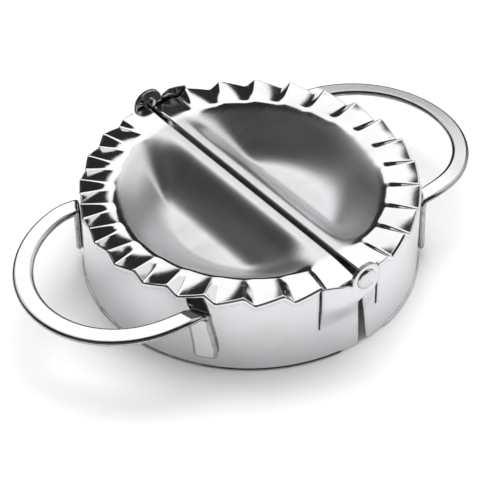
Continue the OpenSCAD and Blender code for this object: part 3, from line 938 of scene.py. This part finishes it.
# rim below 1 paints the edges darker as painted shade, strongest on the handle; the plate's default 1.12 brightens its
# edges as rubbed wear
SKIRT = steel("skirt_steel", (0.67, 0.666, 0.686), 0.05, 0, brush=0.5, wave=0.004, rim=0.5, seed=0.0)
PLATE = steel("plate_steel", (0.68, 0.675, 0.69), 0.09, 0, brush=0.6, wave=0.005, satin=0.27, seed=4.0)
HANDLE = steel("handle_steel", (0.70, 0.697, 0.708), 0.055, 0, brush=0.4, wave=0.002, rim=0.35, seed=8.0)
RIVET = steel("rivet_steel", (0.66, 0.655, 0.67), 0.07, 0, brush=0.6, wave=0.002, rim=0.6, seed=12.0)


def finish_piece(o, mat, body, node):
    o.data.materials.append(mat)
    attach(o, body)
    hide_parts(node)
    return o


finish_piece(half_skirt("left_skirt_sheet", FRONT_Y, BACK_Y - LAP, (SHANK, SHANK), False), SKIRT, "left_half", "left_skirt")
finish_piece(half_skirt("right_skirt_sheet", BACK_Y, FRONT_Y - LAP, (SHANK + RUN, SHANK + RUN), True), SKIRT, "right_half", "right_skirt")
finish_piece(half_plate("left_plate_sheet", False), PLATE, "left_half", "left_crimp_plate")
finish_piece(half_plate("right_plate_sheet", True), PLATE, "right_half", "right_crimp_plate")
finish_piece(handle("left_handle_strap", 21.3, REACH["left"], True), HANDLE, "left_half", "left_handle")
finish_piece(handle("right_handle_strap", 18.75, REACH["right"], False), HANDLE, "right_half", "right_handle")
finish_piece(rivet("front_rivet_button", -FRONT_Y, 1), RIVET, "left_half", "front_rivet")
finish_piece(rivet("back_rivet_button", BACK_Y + 0.05, -1), RIVET, "left_half", "back_rivet")

# ------------------------------------------------------------------ floor, light and camera
sc = bpy.context.scene
sc.view_settings.view_transform = "Standard"
sc.view_settings.look = "None"
sc.view_settings.exposure = 0.0


def floor():
    rings = [0.0, 0.1, 0.3, 0.8, 2.5, 6.0]
    n = 64
    verts, faces = [(0, 0, 0)], []
    for r in rings[1:]:
        for i in range(n):
            t = 2 * math.pi * i / n
            verts.append((r * math.cos(t), r * math.sin(t), 0.0))
    for i in range(n):
        faces.append((0, 1 + i, 1 + (i + 1) % n))
    for k in range(len(rings) - 2):
        a, b_ = 1 + k * n, 1 + (k + 1) * n
        for i in range(n):
            j = (i + 1) % n
            faces.append((a + i, b_ + i, b_ + j, a + j))
    mesh = bpy.data.meshes.new("floor")
    mesh.from_pydata(verts, [], faces)
    o = bpy.data.objects.new("floor", mesh)
    sc.collection.objects.link(o)
    m = bpy.data.materials.new("floor_white")
    m.use_nodes = True
    p = m.node_tree.nodes["Principled BSDF"]
    p.inputs["Base Color"].default_value = (0.86, 0.86, 0.865, 1)
    p.inputs["Roughness"].default_value = 0.9
    p.inputs["Specular IOR Level"].default_value = 0.15
    mesh.materials.append(m)


floor()


def area(name, direction, dist, size, power, target=(0, 0, 0.01)):
    """A soft box seen from the object in the given direction (azimuth from -Y towards +X, elevation)."""
    az, el = (math.radians(v) for v in direction)
    p = Vector((math.sin(az) * math.cos(el), -math.cos(az) * math.cos(el), math.sin(el))) * dist + Vector(target)
    light = bpy.data.lights.new(name, "AREA")
    light.shape = "RECTANGLE"
    light.size, light.size_y = size
    light.energy = power
    o = bpy.data.objects.new(name, light)
    o.location = p
    o.rotation_mode = "QUATERNION"
    o.rotation_quaternion = (Vector(target) - p).to_track_quat("-Z", "Y")
    sc.collection.objects.link(o)
    return o


def world():
    """A dark room with two soft boxes: one behind the object, seen in every flat top, and one to the right. Between them the polished edges mirror the dark room. A dim wall lies in front."""
    w = bpy.data.worlds.new("studio")
    sc.world = w
    w.use_nodes = True
    nt = w.node_tree
    nt.nodes.clear()
    N, L = nt.nodes.new, nt.links.new

    def m(op, a, b=None, c=None, clamp=False):
        n = N("ShaderNodeMath")
        n.operation = op
        n.use_clamp = clamp
        for i, v in enumerate((a, b, c)):
            if v is None:
                continue
            if isinstance(v, (int, float)):
                n.inputs[i].default_value = v
            else:
                L(v, n.inputs[i])
        return n.outputs[0]

    def band(v, lo, hi, soft):
        """1 between lo and hi, with soft sides."""
        n1 = N("ShaderNodeMapRange")
        n1.interpolation_type = "SMOOTHSTEP"
        n2 = N("ShaderNodeMapRange")
        n2.interpolation_type = "SMOOTHSTEP"
        for n, a, b in ((n1, lo - soft, lo + soft), (n2, hi + soft, hi - soft)):
            n.inputs["From Min"].default_value = a
            n.inputs["From Max"].default_value = b
            L(v, n.inputs["Value"])
        return m("MULTIPLY", n1.outputs[0], n2.outputs[0])

    out = N("ShaderNodeOutputWorld")
    bg = N("ShaderNodeBackground")
    tc = N("ShaderNodeTexCoord")
    nrm = N("ShaderNodeVectorMath")
    nrm.operation = "NORMALIZE"
    L(tc.outputs["Generated"], nrm.inputs[0])
    sep = N("ShaderNodeSeparateXYZ")
    L(nrm.outputs[0], sep.inputs[0])
    x, y, z = sep.outputs
    flat = m("SQRT", m("MAXIMUM", m("SUBTRACT", 1.0, m("MULTIPLY", z, z)), 1e-4))
    el = m("MULTIPLY", m("ARCSINE", z), 180 / math.pi)

    def off(az):
        """Degrees from the azimuth az."""
        ax, ay = math.sin(math.radians(az)), -math.cos(math.radians(az))
        c = m("DIVIDE", m("ADD", m("MULTIPLY", x, ax), m("MULTIPLY", y, ay)), flat)
        return m("MULTIPLY", m("ARCCOSINE", m("MINIMUM", m("MAXIMUM", c, -1.0), 1.0)), 180 / math.pi)

    level = 0.03
    for az, half, lo, hi, power in BOXES:
        mask = m("MULTIPLY", band(off(az), -999.0, half, 7.0), band(el, lo, hi, 2.5))
        level = m("MULTIPLY_ADD", mask, power, level)
    L(level, bg.inputs[1])
    bg.inputs[0].default_value = (1.0, 1.0, 1.0, 1)
    L(bg.outputs[0], out.inputs[0])


# azimuth (from -Y towards +X), half width, lowest and highest elevation in degrees, brightness
BOXES = [(156.0, 52.0, 31.0, 73.0, 1.45), (78.0, 28.0, 12.0, 58.0, 1.15), (-38.0, 60.0, 21.0, 46.0, 0.2)]
# light for the floor only: polished metal would show it as a hard patch
for name, direction, dist, size, power in (
    ("floor_fill", (118, 58), 1.9, (2.0, 2.0), 30),
    ("floor_top", (0, 90), 1.9, (2.6, 2.6), 14),
    ("floor_front", (-64, 32), 1.6, (1.6, 1.2), 15),
):
    lamp = area(name, direction, dist, size, power)
    lamp.visible_glossy = False
world()


def camera():
    az, el, roll, dist = -37.706, 41.598, -0.894, 564.98
    f, cx, cy = 2019.08, 241.924, 241.338
    target = np.array([-5.899, -3.648, 10.0])
    a, e, r = (math.radians(v) for v in (az, el, roll))
    back = np.array([math.sin(a) * math.cos(e), -math.cos(a) * math.cos(e), math.sin(e)])
    right = np.array([math.cos(a), math.sin(a), 0.0])
    up = np.cross(back, right)
    r2 = math.cos(r) * right + math.sin(r) * up
    u2 = -math.sin(r) * right + math.cos(r) * up
    cam = bpy.data.cameras.new("camera")
    cam.sensor_width = 36.0
    cam.lens = f / 480 * 36.0
    cam.shift_x = (240 - cx) / 480
    cam.shift_y = (cy - 240) / 480
    cam.clip_start, cam.clip_end = 0.01, 50
    o = bpy.data.objects.new("camera", cam)
    m = Matrix.Identity(4)
    for i in range(3):
        m[i][0], m[i][1], m[i][2] = r2[i], u2[i], back[i]
        m[i][3] = (target + back * dist)[i] * MM
    o.matrix_world = m
    sc.collection.objects.link(o)
    sc.camera = o


camera()

bpy.context.view_layer.update()
